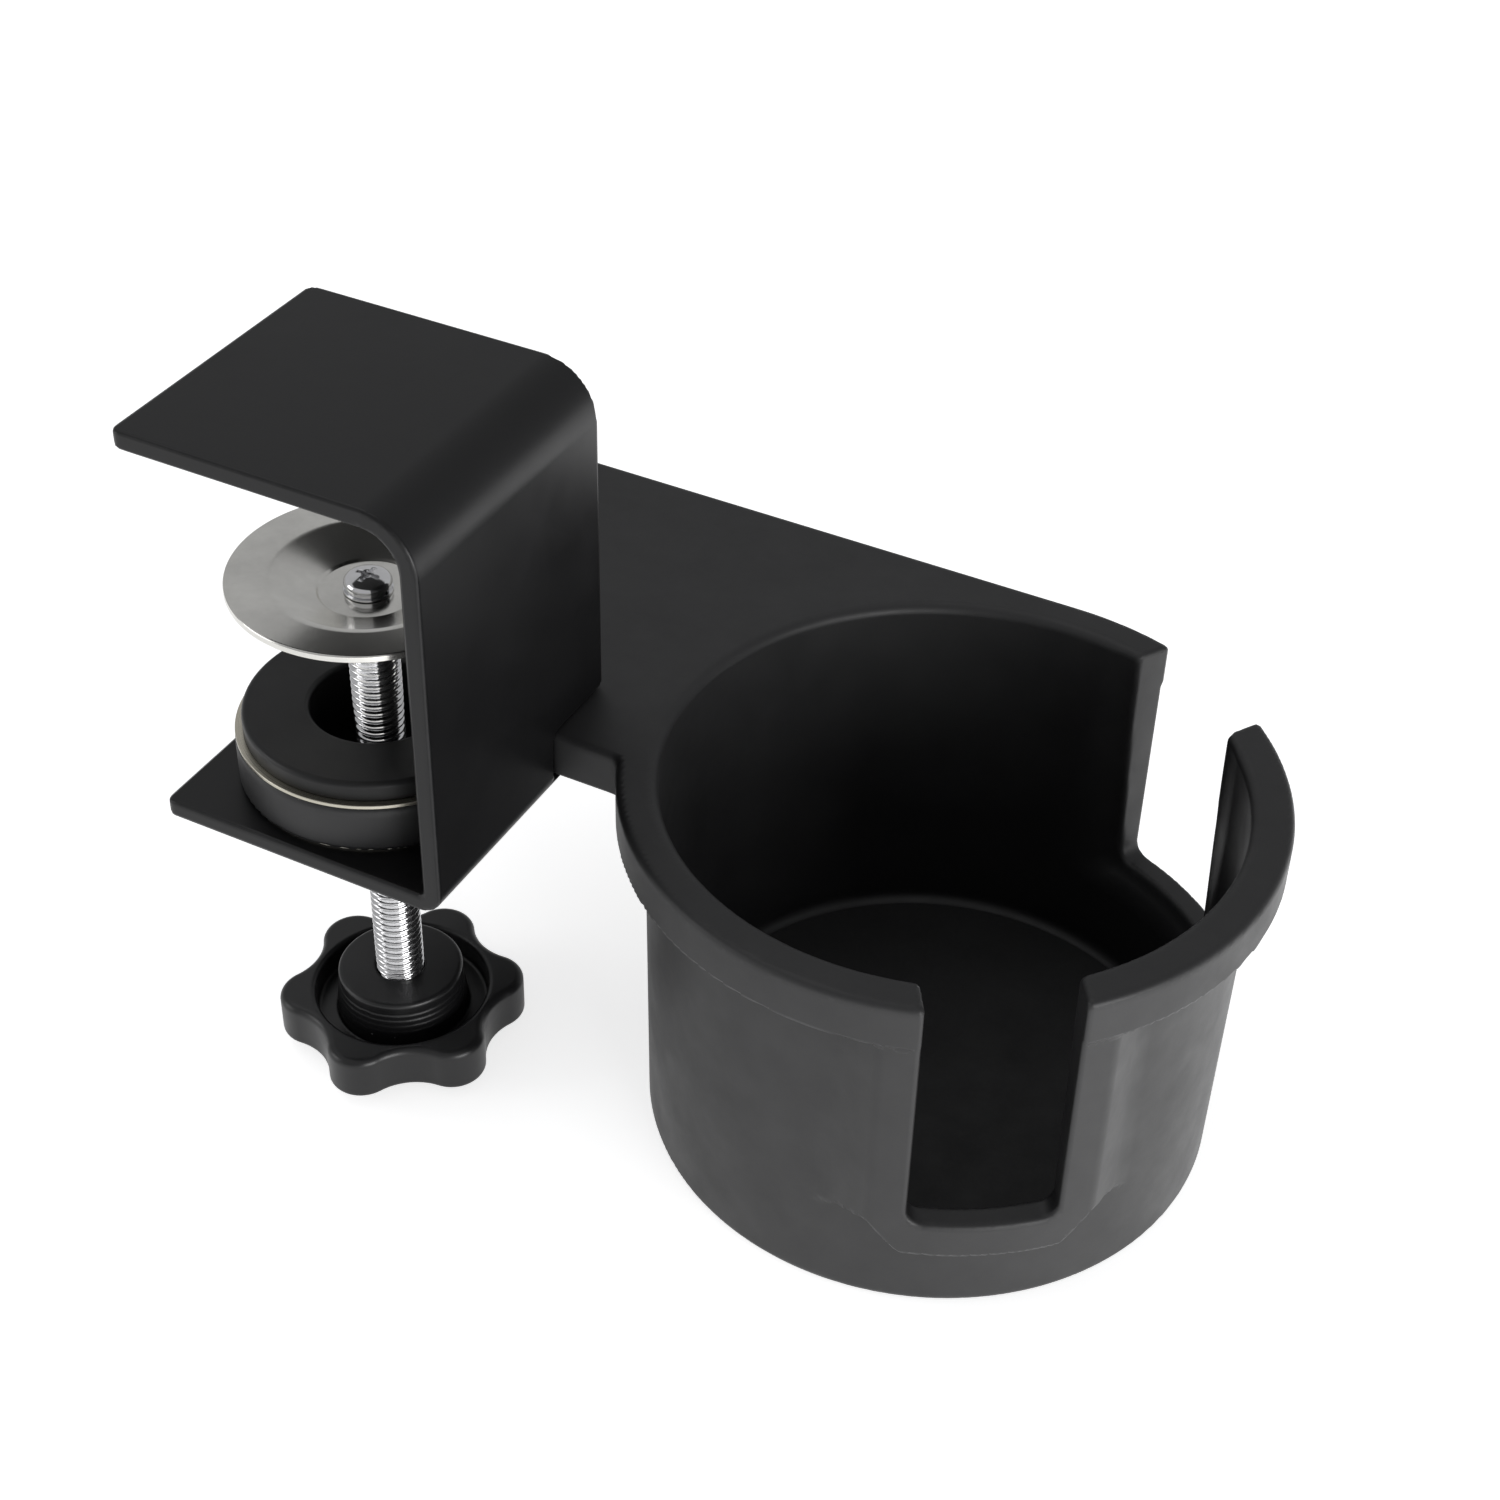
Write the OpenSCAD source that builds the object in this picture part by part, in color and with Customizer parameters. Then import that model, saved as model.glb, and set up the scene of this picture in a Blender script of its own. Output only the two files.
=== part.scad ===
// Desk clamp cup holder: a steel C bracket grips the desk edge with a screw,
// and a moulded cup swings on a collar round that screw.
//
// Frame: the origin is on the clamp screw's axis, on the face of the jaw pad
// that rests on the desk top. +X points from the screw to the bracket's web and
// the cup, +Z is up. Millimetres.

/* [Bracket] */
// Width of the steel strip, along the desk edge
bracket_w = 48; // [46:1:56]
// Height of the bracket over both legs
bracket_h = 69; // [64:1:90]
// Thickness of the steel strip
strip_t = 3; // [2.5:0.5:3.5]
// Length of each leg, from the outer face of the web
leg_l = 50; // [49:1:60]
// Distance from the screw's axis to the outer face of the web
web_x = 26; // [26:0.5:28]
// Outer radius of the bend at the desk top
top_bend_r = 9; // [6:1:12]
// Outer radius of the bend at the lower leg
low_bend_r = 4; // [4:0.5:6]
// Radius at the free corners of the legs
leg_corner_r = 1.5; // [1:0.5:4]
// Thickness of the pad under the upper leg
pad_t = 1.5; // [1:0.5:3]

/* [Swivel] */
// Radius of the arm's hub on the lower leg
hub_r = 22.2; // [20:0.1:22.5]
// Radius of the collar's sleeve that the hub turns on
sleeve_r = 16; // [14.5:0.5:17]
// Radius of the open middle of the collar
collar_bore_r = 10.5; // [9:0.5:11]
// Radius of the collar's flange
collar_r = 20.9; // [18:0.1:21.5]
// Thickness of the collar's flange
collar_t = 3.2; // [2.5:0.1:4]
// Radial clearance of the hub on the sleeve
swivel_gap = 0.08; // [0.05:0.01:0.1]

/* [Arm and cup] */
// Thickness of the arm and of the cup's rim
arm_t = 8; // [7:0.5:10]
// Thickness of the arm's top skin over the ribs
skin_t = 2.4; // [2:0.1:3]
// Distance of the arm's front edge from the screw's axis
arm_front = 9.5; // [9:0.5:12]
// Place of the cup's centre, along X and along Y
cup_x = 84; // [84:1:95]
cup_y = 30; // [28:1:34]
// Outer radius of the rim
rim_r = 51.4; // [50.5:0.1:52]
// Radius of the opening at the rim
mouth_r = 46.2; // [45.8:0.1:46.5]
// Outer radius of the cup below the rim, and at its bottom
body_r = 46.9; // [46.8:0.1:47.5]
base_r = 46.3; // [45:0.1:46.6]
// Inner radius at the floor
floor_r = 44.2; // [43:0.1:44.4]
// Depth of the cup's underside below the rim's top
cup_h = 66.4; // [60:0.1:80]
// Thickness of the floor
floor_t = 2.2; // [2:0.1:3]
// Width of the two handle slots
slot_w = 22.5; // [18:0.5:24]
// Depth of the handle slots below the rim's top
slot_h = 43.7; // [35:0.1:46]
// Direction of each slot from the arm's direction
slot_dir = 57.75; // [55:0.25:65]
// Outer radius of the raised frame round a slot
frame_r = 51; // [50:0.1:51.2]
// Thickness of the loose mat in the cup
mat_t = 1; // [0.5:0.1:1.5]

/* [Clamp screw] */
// Height of the pressure disc's rim above the underside of the lower leg
disc_z = 38.9; // [38:0.1:45]
// Radius of the pressure disc
disc_r = 21.2; // [18:0.1:22]
// Depth of the recess for the screw head
dish_h = 3.1; // [2.9:0.1:4]
// Depth of the knob's lobes below the lower leg's underside
knob_z = 44.8; // [40:0.1:46]
// Radius over the knob's lobes
knob_r = 20.4; // [19:0.1:22]
// Height of the lobes
knob_t = 8; // [8:0.5:12]
// Number of lobes
knob_lobes = 6; // [6:1:7]

/* [Hidden] */
$fn = 96;

// Height of the lower leg's underside in the part's frame
base_z = -(bracket_h - strip_t - pad_t);
// Small steps that keep joined shapes and cuts from sharing a face
eps = 0.01;
overlap = 1;

// Heights above the lower leg's underside
slip_t = 0.4;
spacer_t = 0.6;
washer_gap = 0.2;
hub_z = strip_t + slip_t;
arm_top = hub_z + arm_t;
collar_z = arm_top + spacer_t;
cup_low = arm_top - cup_h;
slot_z = arm_top - slot_h;

// Clearance of the arm in the web's notch
notch_gap = 0.5;
notch_corner_r = 0.8;

// Collar screws, M3
collar_screw_n = 3;
collar_screw_r = 1.5;
collar_screw_ring = (collar_bore_r + sleeve_r) / 2;
collar_screw_l = 9;
collar_head_r = 2.75;
collar_head_h = 1.9;
collar_screw_turn = 60;

// Clearance of the holes in the lower leg
rod_hole_gap = 0.5;
screw_hole_gap = 0.1;

// M8 rod and its hexagon nuts
rod_r = 4;
nut_af = 13;
nut_h = 6.5;
thread_gap = 0.05;

// Disc, washers and M4 screw on the rod's end
sheet_t = 1.2;
spigot_r = 3.2;
spigot_gap = 0.05;
dish_floor_r = 7.4;
dish_top_r = 14.8;
disc_seat = disc_z - dish_h - sheet_t;
spigot_top = disc_seat + sheet_t + 0.1;
m4_r = 2;
washer_r = 3.8;
washer_t = 0.4;
spring_r = 3.5;
spring_t = 0.8;
head_r = 3.7;
head_h = 1.6;
disc_screw_l = 9;

// Knob
knob_hub_r = 10.4;
knob_hub_h = 4.3;
channel_r = 14.4;
channel_h = 4.5;
lobe_r = 5.5;
waist_r = 16.4;
lobe_turn = 36;
rod_low = -(knob_z + knob_t) + 1;

// ---------- helpers ----------

// Everything that stands on the lower leg's level
module on_leg(z = 0) {
    translate([0, 0, base_z + z]) children();
}

// Everything placed round the cup's own axis
module at_cup() {
    translate([cup_x, cup_y, 0]) children();
}

// Ring with a true bore
module ring(r, bore, h) {
    difference() {
        cylinder(r = r, h = h);
        translate([0, 0, -1]) cylinder(r = bore, h = h + 2);
    }
}

// Hexagon prism from its width across flats
module hexagon(af, h) {
    cylinder(r = af / 2 / cos(30), h = h, $fn = 6);
}

// Rectangle in the XY plane with rounded corners
module round_rect(x0, x1, y0, y1, r) {
    translate([x0 + r, y0]) square([x1 - x0 - 2 * r, y1 - y0]);
    translate([x0, y0 + r]) square([x1 - x0, y1 - y0 - 2 * r]);
    for (x = [x0 + r, x1 - r], y = [y0 + r, y1 - r])
        translate([x, y]) circle(r = r);
}

// ---------- bracket ----------

// Side view of the strip: outline with rounded bends, web at the right
module strip_outline(inset, top_r, low_r) {
    x1 = web_x - inset;
    z0 = inset;
    z1 = bracket_h - inset;
    x0 = web_x - leg_l - (inset > 0 ? 5 : 0);
    translate([x0, z0]) square([x1 - x0 - max(top_r, low_r), z1 - z0]);
    translate([x1 - max(top_r, low_r) - eps, z0 + low_r])
        square([max(top_r, low_r) + eps, z1 - z0 - top_r - low_r]);
    translate([x1 - top_r - low_r, z0]) square([top_r, low_r + eps]);
    translate([x1 - low_r, z0 + low_r]) circle(r = low_r);
    translate([x1 - top_r, z1 - top_r]) circle(r = top_r);
}

// Space that the arm passes through, at the web's lower back corner
module arm_notch() {
    y0 = arm_front - notch_gap;
    z1 = arm_top + notch_gap;
    translate([web_x + 1, 0, 0]) rotate([90, 0, -90]) linear_extrude(strip_t + 3) {
        translate([-bracket_w, strip_t]) square([bracket_w - y0 - notch_corner_r, z1 - strip_t]);
        translate([-y0 - notch_corner_r - eps, strip_t])
            square([notch_corner_r + eps, z1 - strip_t - notch_corner_r]);
        translate([-y0 - notch_corner_r, z1 - notch_corner_r]) circle(r = notch_corner_r);
    }
}

module collar_screw_places() {
    for (i = [0 : collar_screw_n - 1])
        rotate([0, 0, collar_screw_turn + i * 360 / collar_screw_n])
            translate([collar_screw_ring, 0, 0]) children();
}

module clamp_bracket() {
    color([0.11, 0.11, 0.12]) on_leg() difference() {
        intersection() {
            translate([0, bracket_w / 2, 0]) rotate([90, 0, 0]) linear_extrude(bracket_w)
                difference() {
                    strip_outline(0, top_bend_r, low_bend_r);
                    strip_outline(strip_t, top_bend_r - strip_t, low_bend_r - strip_t);
                }
            translate([0, 0, -1]) linear_extrude(bracket_h + 2)
                round_rect(web_x - leg_l, web_x + 10, -bracket_w / 2, bracket_w / 2, leg_corner_r);
        }
        arm_notch();
        translate([0, 0, -1]) cylinder(r = rod_r + rod_hole_gap, h = strip_t + 2);
        collar_screw_places() translate([0, 0, -1])
            cylinder(r = collar_screw_r + screw_hole_gap, h = strip_t + 2);
    }
}

module jaw_pad() {
    margin = 2;
    color([0.16, 0.16, 0.16]) linear_extrude(pad_t)
        round_rect(web_x - leg_l + margin, web_x - top_bend_r - 1,
                   -bracket_w / 2 + margin, bracket_w / 2 - margin, 3);
}

module weld_nut() {
    color([0.2, 0.2, 0.2]) on_leg(-nut_h) difference() {
        hexagon(nut_af, nut_h);
        translate([0, 0, -1]) cylinder(r = rod_r + thread_gap, h = nut_h + 2);
    }
}

// ---------- swivel ----------

module pivot_collar() {
    color([0.15, 0.15, 0.16]) on_leg() difference() {
        union() {
            translate([0, 0, strip_t]) cylinder(r = sleeve_r, h = collar_z - strip_t + eps);
            translate([0, 0, collar_z]) cylinder(r = collar_r, h = collar_t);
        }
        cylinder(r = collar_bore_r, h = bracket_h / 2);
        collar_screw_places() cylinder(r = collar_screw_r, h = collar_screw_l);
    }
}

module collar_screws() {
    color([0.75, 0.75, 0.74]) on_leg() collar_screw_places() {
        cylinder(r = collar_screw_r, h = collar_screw_l);
        translate([0, 0, -collar_head_h]) difference() {
            cylinder(r = collar_head_r, h = collar_head_h);
            cross_recess(1.6, 1.1);
        }
    }
}

// Cross recess cut upward from z = 0
module cross_recess(reach, depth) {
    blade = 0.7;
    for (a = [0, 90])
        rotate([0, 0, a]) translate([-reach, -blade / 2, -eps]) cube([2 * reach, blade, depth]);
}

module slip_washer() {
    color([0.9, 0.88, 0.82]) on_leg(strip_t) ring(hub_r - 0.7, sleeve_r + washer_gap, slip_t);
}

module collar_washer() {
    color([0.8, 0.78, 0.7]) on_leg(arm_top) ring(hub_r - 0.1, sleeve_r + washer_gap, spacer_t);
}

// ---------- arm and cup ----------

// Plan of the arm, drawn inset from its true edge
module arm_plan(inset) {
    x0 = -hub_r + inset;
    y0 = arm_front + inset;
    y1 = cup_y + rim_r - inset;
    corner = 12 - inset;
    translate([x0 + corner, y0]) square([cup_x - x0 - corner, y1 - y0]);
    translate([x0, y0]) square([corner + eps, y1 - y0 - corner]);
    translate([x0 + corner, y1 - corner]) circle(r = corner);
    intersection() {
        circle(r = hub_r - inset);
        translate([-hub_r, -hub_r]) square([2 * hub_r, hub_r + y0 + eps]);
    }
}

// Hollows under the arm's top skin, between crossing ribs
module arm_hollows() {
    wall = 2.2;
    rib = 2;
    pitch = 19;
    on_leg(hub_z - 1) linear_extrude(arm_t - skin_t + 1) difference() {
        arm_plan(wall);
        circle(r = hub_r + eps);
        translate([cup_x, cup_y]) circle(r = rim_r - wall);
        for (i = [-3 : 6], a = [45, -45])
            rotate(a) translate([-120, i * pitch - rib / 2]) square([240, rib]);
    }
}

// Raised frame round one slot, facing +X, before the cup's cavity is cut
module slot_frame() {
    flat = 17;
    wing = 22.1;
    base_half = 12.4;
    chamfer_h = 5.6;
    wing_drop = 2.8;
    low = slot_z - 6.7;
    root = 30;
    shoulder = sqrt(frame_r * frame_r - flat * flat);
    foot = sqrt(body_r * body_r - wing * wing) - 0.5;
    tip = 2 * shoulder - foot;
    tip_half = 2 * flat - wing;
    top = hub_z + overlap;
    intersection() {
        translate([0, 0, low]) cylinder(r = frame_r, h = top - low);
        translate([0, 0, low - 1]) linear_extrude(top - low + 1)
            polygon([[root, -wing], [foot, -wing], [tip, -tip_half],
                     [tip, tip_half], [foot, wing], [root, wing]]);
        rotate([90, 0, 90]) linear_extrude(frame_r + 1)
            polygon([[-wing - 1, top], [-wing - 1, low + chamfer_h - wing_drop],
                     [-flat, low + chamfer_h], [-base_half, low], [base_half, low],
                     [flat, low + chamfer_h], [wing + 1, low + chamfer_h - wing_drop],
                     [wing + 1, top]]);
    }
}

// Recess behind one slot's frame, facing +X, that keeps its wall thin
module slot_recess() {
    half = 14.4;
    root = 30;
    low_r = 47.3;
    top_r = 44.9;
    low = slot_z - 2;
    h = arm_top - low;
    translate([0, 0, low]) intersection() {
        cylinder(r1 = low_r, r2 = top_r, h = h);
        translate([root, -half, 0]) cube([root, 2 * half, h]);
    }
}

// Opening of one slot, facing +X
module slot_cut() {
    corner = 2.5;
    top = arm_top + 1;
    rotate([90, 0, 90]) linear_extrude(rim_r + 2) {
        translate([-slot_w / 2, slot_z + corner]) square([slot_w, top - slot_z - corner]);
        translate([-slot_w / 2 + corner, slot_z]) square([slot_w - 2 * corner, corner + eps]);
        for (s = [-1, 1])
            translate([s * (slot_w / 2 - corner), slot_z + corner]) circle(r = corner);
    }
}

module cup_solid() {
    edge = 1.2;
    rotate_extrude() polygon([
        [0, cup_low], [base_r - edge, cup_low], [base_r, cup_low + edge],
        [body_r, hub_z], [body_r, hub_z + overlap], [0, hub_z + overlap]]);
}

module cup_cavity() {
    lip = 1.4;
    cove = 2;
    z0 = cup_low + floor_t;
    rotate_extrude() polygon([
        [0, z0], [floor_r - cove, z0], [floor_r, z0 + cove],
        [mouth_r - lip, arm_top - lip], [mouth_r, arm_top], [mouth_r, arm_top + 1], [0, arm_top + 1]]);
}

module cup_holder() {
    color([0.2, 0.2, 0.21]) difference() {
        union() {
            on_leg() at_cup() cup_solid();
            on_leg() at_cup() for (s = [-1, 1]) rotate([0, 0, s * slot_dir]) slot_frame();
            on_leg(hub_z) linear_extrude(arm_t) {
                arm_plan(0);
                translate([cup_x, cup_y]) circle(r = rim_r);
            }
        }
        on_leg() at_cup() cup_cavity();
        on_leg() at_cup() for (s = [-1, 1]) rotate([0, 0, s * slot_dir]) {
            slot_recess();
            slot_cut();
        }
        on_leg() cylinder(r = sleeve_r + swivel_gap, h = bracket_h / 2);
        arm_hollows();
    }
}

module cup_mat() {
    margin = 2.1;
    color([0.24, 0.24, 0.25]) on_leg(cup_low + floor_t) at_cup() cylinder(r = floor_r - margin, h = mat_t);
}

// ---------- clamp screw ----------

module threaded_rod() {
    chamfer = 0.8;
    color([0.82, 0.82, 0.83]) on_leg() difference() {
        union() {
            translate([0, 0, rod_low]) cylinder(r1 = rod_r - chamfer, r2 = rod_r, h = chamfer);
            translate([0, 0, rod_low + chamfer - eps])
                cylinder(r = rod_r, h = disc_seat - rod_low - chamfer + eps);
            translate([0, 0, disc_seat - eps]) cylinder(r = spigot_r, h = spigot_top - disc_seat + eps);
        }
        translate([0, 0, spigot_top - disc_screw_l]) cylinder(r = m4_r, h = disc_screw_l + 1);
    }
}

// Dished sheet disc: flat rim, sloping side with a small step at its foot, and flat seat
module pressure_disc() {
    edge = 0.3;
    step_h = 0.4;
    color([0.72, 0.71, 0.68]) on_leg() difference() {
        rotate_extrude() polygon([
            [0, disc_seat], [dish_floor_r + 0.5, disc_seat], [dish_top_r + 0.6, disc_z - sheet_t],
            [disc_r, disc_z - sheet_t], [disc_r, disc_z - edge], [disc_r - edge, disc_z],
            [dish_top_r, disc_z], [dish_floor_r + step_h, disc_seat + sheet_t + step_h],
            [dish_floor_r, disc_seat + sheet_t], [0, disc_seat + sheet_t]]);
        translate([0, 0, disc_seat - 1]) cylinder(r = spigot_r + spigot_gap, h = sheet_t + 2);
    }
}

module flat_washer() {
    color([0.75, 0.75, 0.75]) on_leg(spigot_top) ring(washer_r, m4_r + 0.1, washer_t);
}

// Split lock washer, flattened under the head
module spring_washer() {
    split = 0.6;
    color([0.7, 0.7, 0.7]) on_leg(spigot_top + washer_t) difference() {
        ring(spring_r, m4_r + 0.1, spring_t);
        translate([0, -split / 2, -1]) cube([spring_r + 1, split, spring_t + 2]);
    }
}

module disc_screw() {
    color([0.85, 0.85, 0.85]) on_leg(spigot_top + washer_t + spring_t) {
        translate([0, 0, -washer_t - spring_t - disc_screw_l + 2])
            cylinder(r = m4_r, h = washer_t + spring_t + disc_screw_l - 2 + eps);
        difference() {
            cylinder(r = head_r, h = head_h);
            translate([0, 0, head_h]) mirror([0, 0, 1]) cross_recess(2.1, 1.1);
        }
    }
}

// Plan of the knob: round lobes, with a hollow tangent to both lobes between each pair
module knob_plan() {
    step = 180 / knob_lobes;
    lobe_at = knob_r - lobe_r;
    hollow_r = (lobe_r * lobe_r - lobe_at * lobe_at - waist_r * waist_r
        + 2 * lobe_at * waist_r * cos(step)) / (2 * (waist_r - lobe_at * cos(step) - lobe_r));
    hollow_at = waist_r + hollow_r;
    difference() {
        union() {
            polygon([for (i = [0 : 2 * knob_lobes - 1])
                let (a = lobe_turn + i * step, r = i % 2 == 0 ? lobe_at : hollow_at)
                    [r * cos(a), r * sin(a)]]);
            for (i = [0 : knob_lobes - 1])
                rotate(lobe_turn + 2 * i * step) translate([lobe_at, 0]) circle(r = lobe_r);
        }
        for (i = [0 : knob_lobes - 1])
            rotate(lobe_turn + (2 * i + 1) * step) translate([hollow_at, 0]) circle(r = hollow_r);
    }
}

module hand_knob() {
    pocket_h = nut_h + 0.5;
    low = -(knob_z + knob_t);
    color([0.1, 0.1, 0.1]) on_leg() difference() {
        union() {
            difference() {
                translate([0, 0, low]) linear_extrude(knob_t) knob_plan();
                translate([0, 0, -knob_z - channel_h]) cylinder(r = channel_r, h = channel_h + 1);
            }
            translate([0, 0, low]) cylinder(r = knob_hub_r, h = knob_t + knob_hub_h);
        }
        translate([0, 0, low - 1]) cylinder(r = rod_r, h = knob_t + knob_hub_h + 2);
        translate([0, 0, low - eps]) hexagon(nut_af, pocket_h + eps);
    }
}

module knob_nut() {
    color([0.7, 0.62, 0.4]) on_leg(-(knob_z + knob_t) + 0.5) difference() {
        hexagon(nut_af, nut_h);
        translate([0, 0, -1]) cylinder(r = rod_r, h = nut_h + 2);
    }
}

clamp_bracket();
jaw_pad();
weld_nut();
pivot_collar();
collar_screws();
slip_washer();
collar_washer();
cup_holder();
cup_mat();
threaded_rod();
pressure_disc();
flat_washer();
spring_washer();
disc_screw();
hand_knob();
knob_nut();
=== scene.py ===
"""Desk clamp cup holder: the looks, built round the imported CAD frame.

Shapes are worked out in millimetres in the frame's own axes and turned into metres when a mesh is made.
A shape is a function of x, y and z that gives the distance to its surface, negative inside.
"""
import math
from functools import cache

import bpy
import numpy as np
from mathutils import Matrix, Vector


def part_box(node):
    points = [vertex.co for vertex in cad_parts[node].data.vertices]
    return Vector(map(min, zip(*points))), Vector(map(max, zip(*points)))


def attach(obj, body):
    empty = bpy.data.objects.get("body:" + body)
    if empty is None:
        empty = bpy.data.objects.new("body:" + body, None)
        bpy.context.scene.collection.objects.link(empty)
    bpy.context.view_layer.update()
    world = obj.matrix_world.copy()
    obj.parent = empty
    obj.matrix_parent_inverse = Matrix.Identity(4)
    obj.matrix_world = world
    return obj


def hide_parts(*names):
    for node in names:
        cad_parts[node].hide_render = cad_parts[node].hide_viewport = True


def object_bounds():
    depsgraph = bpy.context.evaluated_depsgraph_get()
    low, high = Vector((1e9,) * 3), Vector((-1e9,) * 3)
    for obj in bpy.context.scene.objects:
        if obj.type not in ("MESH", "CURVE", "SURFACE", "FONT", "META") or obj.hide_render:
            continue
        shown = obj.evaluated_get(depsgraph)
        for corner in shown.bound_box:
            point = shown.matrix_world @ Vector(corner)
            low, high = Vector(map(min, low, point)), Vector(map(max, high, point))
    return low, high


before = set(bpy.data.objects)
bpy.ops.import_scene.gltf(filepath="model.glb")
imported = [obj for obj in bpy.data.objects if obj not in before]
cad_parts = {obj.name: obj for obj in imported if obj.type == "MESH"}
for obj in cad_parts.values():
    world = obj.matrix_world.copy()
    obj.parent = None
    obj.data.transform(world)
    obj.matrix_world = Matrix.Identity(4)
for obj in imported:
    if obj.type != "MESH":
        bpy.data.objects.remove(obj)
CAD_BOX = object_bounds()

MM = 0.001
TINY = 1e-9


# ---------------------------------------------------------------- sizes, in mm

def low(node):
    return np.array(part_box(node)[0]) / MM


def high(node):
    return np.array(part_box(node)[1]) / MM


LEG_Z = low("clamp_bracket")[2]             # underside of the lower leg
LEG_X = low("clamp_bracket")[0]             # free ends of the legs
TOP_Z = high("clamp_bracket")[2]
WEB_X = high("clamp_bracket")[0]
HALF_W = high("clamp_bracket")[1]
STRIP = 3.0
TOP_BEND, LOW_BEND = 9.0, 4.0
LEG_CORNER = 1.5

ARM_Z = low("collar_washer")[2]             # top of the arm and of the rim
HUB_Z = high("slip_washer")[2]              # underside of the arm and of the rim
HUB_R = -low("cup_holder")[0]
SLEEVE_R, SLEEVE_GAP = 16.0, 0.08           # the collar's sleeve and the hub's clearance on it
RING_BORE = SLEEVE_R + 0.2                  # bore of the two washers on the sleeve
COLLAR_BORE = 10.5
COLLAR_R = high("pivot_collar")[0]

CUP = (low("cup_mat")[:2] + high("cup_mat")[:2]) / 2
CUP_LOW = low("cup_holder")[2]
RIM_R = high("cup_holder")[0] - CUP[0]
ARM_FRONT = 9.5
ARM_BACK = high("cup_holder")[1]
ARM_CORNER = 12.0
SKIN = 2.4                                  # the arm's top, over its hollows
BODY_R, BASE_R = 46.9, 46.3
CAVITY_R, FLOOR_R = 44.9, 44.2
FLOOR_Z = low("cup_mat")[2]
BURIED = 3.0                                # how far below the arm's top the cup's wall and frames end

SLOT_W, SLOT_DIR = 22.5, 57.75              # width, and degrees either side of +X from the cup's axis
SLOT_Z = ARM_Z - 43.7
SLOT_START, RECESS_START = 20.0, 30.0       # distances from the cup's axis, along the slot
FRAME_R, FRAME_FLAT, FRAME_WING = 51.0, 17.0, 22.1
FRAME_FOOT, FRAME_FOOT_Z = 12.4, SLOT_Z - 6.7
FRAME_RISE, WING_DROP = 5.6, 2.8
RECESS_R, RECESS_HALF, RECESS_LEAN = 47.3, 11.8, 3.0

ROD_R = 4.0
PITCH = 1.25
SCREW_R = 2.0                               # the M4 screw in the rod's end
SCREW_HOLE_R = 2.1
DISC_Z = high("pressure_disc")[2]
DISC_SEAT = low("pressure_disc")[2]
DISC_R = high("pressure_disc")[0]
SHEET = 1.2

KNOB_LOW, KNOB_TOP = low("hand_knob")[2], high("hand_knob")[2]
KNOB_Z = KNOB_LOW + 8.0                     # top of the knob's lobes
KNOB_R, KNOB_WAIST, LOBE_R, LOBES = 20.4, 16.4, 5.5, 6
LOBE_TURN = 36.0
KNOB_HUB_R = 10.4
CHANNEL_R, CHANNEL_DEPTH = 14.4, 4.5
NUT_AF, NUT_H = 13.0, 6.5


# ---------------------------------------------------------------- shapes

def inter(a, b, r=0.0):
    """Where solids a and b overlap, with the edge between them rounded to radius r."""
    if r <= 0:
        return np.maximum(a, b)
    return np.minimum(-r, np.maximum(a, b)) + np.hypot(np.maximum(a + r, 0), np.maximum(b + r, 0))


def join(a, b, r=0.0):
    """Both solids together, with a fillet of radius r between them."""
    return -inter(-a, -b, r)


def cut(a, b, r=0.0):
    """Solid a without b, with the cut's edge rounded to radius r."""
    return inter(a, -b, r)


def slab(v, v0, v1):
    """The slab between v0 and v1."""
    return np.abs(v - (v0 + v1) / 2) - (v1 - v0) / 2


def through(u, v, p, q):
    """The plane (u, v) to the left of the line from p to q."""
    du, dv = q[0] - p[0], q[1] - p[1]
    return ((u - p[0]) * dv - (v - p[1]) * du) / math.hypot(du, dv)


def hexagon(x, y, across_flats):
    side = np.abs(x) * math.cos(math.pi / 6) + np.abs(y) * 0.5
    return np.maximum(np.abs(y), side) - across_flats / 2


# ---------------------------------------------------------------- surface net of a shape

CELL_CORNERS = [(i, j, k) for i in (0, 1) for j in (0, 1) for k in (0, 1)]


def crossed_cells(inside):
    """Grid cells that the surface passes through."""
    nx, ny, nz = (n - 1 for n in inside.shape)
    count = np.zeros((nx, ny, nz), np.int8)
    for i, j, k in CELL_CORNERS:
        count += inside[i:i + nx, j:j + ny, k:k + nz]
    return (count > 0) & (count < len(CELL_CORNERS))


def cell_points(f, cells):
    """For each cell, the mean of the points where the surface crosses its edges, in grid steps."""
    total = np.zeros((len(cells), 3))
    hits = np.zeros(len(cells))
    for start in CELL_CORNERS:
        for axis in range(3):
            if start[axis]:
                continue
            end = list(start)
            end[axis] = 1
            p, q = cells + start, cells + end
            fp, fq = f[tuple(p.T)], f[tuple(q.T)]
            crossed = (fp < 0) != (fq < 0)
            point = p.astype(float)
            point[:, axis] += np.where(crossed, fp / np.where(crossed, fp - fq, 1), 0)
            total += point * crossed[:, None]
            hits += crossed
    return total / hits[:, None]


def edge_quads(inside, index):
    """A quad for each grid edge that the surface crosses, with its corners in the four cells round it."""
    quads = []
    for axis in range(3):
        u, v = (axis + 1) % 3, (axis + 2) % 3
        first = [slice(None)] * 3
        last = [slice(None)] * 3
        first[axis], last[axis] = slice(0, -1), slice(1, None)
        at = np.argwhere(inside[tuple(first)] != inside[tuple(last)])
        at = at[(at[:, u] > 0) & (at[:, v] > 0)]
        ring = []
        for du, dv in ((1, 1), (0, 1), (0, 0), (1, 0)):
            cell = at.copy()
            cell[:, u] -= du
            cell[:, v] -= dv
            ring.append(index[tuple(cell.T)])
        quad = np.stack(ring, 1)
        leaves = inside[tuple(at.T)]
        quads.append(np.where(leaves[:, None], quad, quad[:, ::-1]))
    return np.concatenate(quads)


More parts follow.
